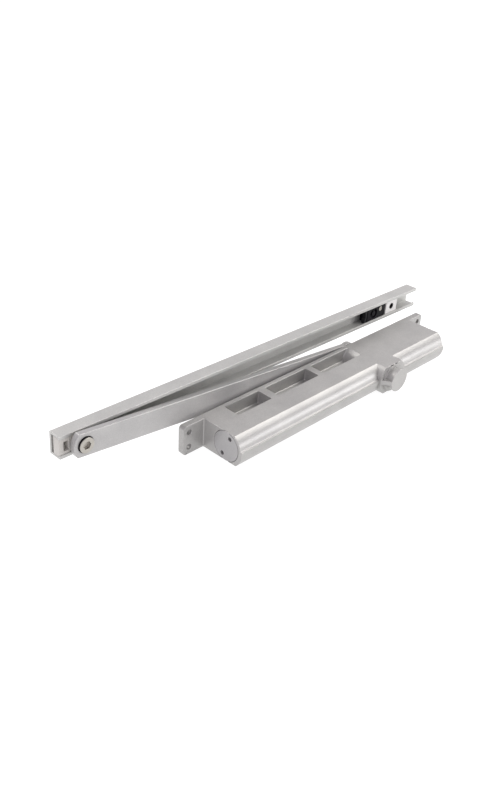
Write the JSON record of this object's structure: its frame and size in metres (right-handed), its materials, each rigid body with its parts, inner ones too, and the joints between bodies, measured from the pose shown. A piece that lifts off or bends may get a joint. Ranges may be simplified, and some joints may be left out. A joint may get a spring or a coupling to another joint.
{
  "type": "concealed door closer",
  "caption": "Concealed overhead door closer: silver cast body with rack and pinion spring drive, flat slide arm and channel track.",
  "frame": {"origin": "centre of the body's four lug holes, in the lug plane that lies against the door's top edge", "axes": "+X along the body from its spring end to its spindle end, +Y out of the lug plane towards the arm and track, +Z across the body's thickness"},
  "size_m": [0.5143, 0.0959, 0.0668],
  "materials": {
    "body_paint": "satin silver-grey powder paint on cast aluminium",
    "plug_paint": "satin silver-grey paint",
    "arm_paint": "satin silver-grey paint on steel",
    "track_paint": "satin anodised extrusion",
    "seal_rubber": "matte black nitrile",
    "bronze": "sintered bronze",
    "brass": "turned brass",
    "zinc_steel": "bright zinc plate",
    "spring_steel": "oiled spring wire",
    "ground_steel": "ground and oiled",
    "black_steel": "blackened steel",
    "nickel_screw": "satin nickel plate",
    "cream_nylon": "moulded cream nylon",
    "white_nylon": "moulded white nylon",
    "black_nylon": "moulded black nylon"
  },
  "bodies": {
    "closer_body": {"body_casting": "body_paint", "end_plug_left": "plug_paint", "end_plug_right": "plug_paint", "plug_seals": "seal_rubber", "bush_front": "bronze", "bush_rear": "bronze", "shaft_seal": "seal_rubber", "gland_nut": "zinc_steel", "valve_seals": "seal_rubber", "spring_seat": "zinc_steel", "main_spring": "spring_steel"},
    "piston": {"rack_piston": "ground_steel", "piston_seals": "seal_rubber", "check_ball": "ground_steel", "check_retainer": "zinc_steel"},
    "closing_screw": {"closing_valve": "zinc_steel"},
    "latching_screw": {"latching_valve": "zinc_steel"},
    "backcheck_screw": {"backcheck_valve": "zinc_steel"},
    "arm": {"spindle": "ground_steel", "main_arm": "arm_paint", "arm_washer": "zinc_steel", "arm_screw": "zinc_steel", "pivot_bush": "bronze", "pivot_washer": "black_nylon"},
    "slider": {"slide_block": "cream_nylon", "slide_insert": "brass", "pivot_screw": "nickel_screw"},
    "track": {"track_rail": "track_paint", "mount_block_left": "cream_nylon", "mount_block_right": "white_nylon", "mount_sleeve": "black_steel", "buffer_body": "black_nylon", "buffer_pad": "seal_rubber", "buffer_screw": "nickel_screw"}
  },
  "joints": [
    {"name": "arm_swing", "type": "hinge", "parent": "closer_body", "child": "arm", "pos_m": [0.064, 0, 0], "axis": [0, 1, 0], "range_deg": [0, 130], "stiffness_Nm_per_rad": 8, "springref_deg": -68.75},
    {"name": "piston_slide", "type": "slide", "parent": "closer_body", "child": "piston", "axis": [-1, 0, 0], "range_m": [0, 0.0145], "deforming": ["main_spring"]},
    {"name": "slider_swivel", "type": "hinge", "parent": "arm", "child": "slider", "pos_m": [-0.29363, 0, 0.03853], "axis": [0, 1, 0], "continuous": true},
    {"name": "track_slide", "type": "slide", "parent": "slider", "child": "track", "axis": [-0.9998, 0, 0.0183], "range_m": [0, 0.385]},
    {"name": "closing_turn", "type": "hinge", "parent": "closer_body", "child": "closing_screw", "pos_m": [0.104, 0, 0], "axis": [0, 1, 0], "range_deg": [0, 720]},
    {"name": "latching_turn", "type": "hinge", "parent": "closer_body", "child": "latching_screw", "pos_m": [0.122, 0, 0], "axis": [0, 1, 0], "range_deg": [0, 720]},
    {"name": "backcheck_turn", "type": "hinge", "parent": "closer_body", "child": "backcheck_screw", "pos_m": [0.14, 0, 0], "axis": [0, 1, 0], "range_deg": [0, 720]}
  ],
  "couplings": [
    {"joint": "piston_slide", "follows": "arm_swing", "m_per_rad": 0.00625}
  ]
}
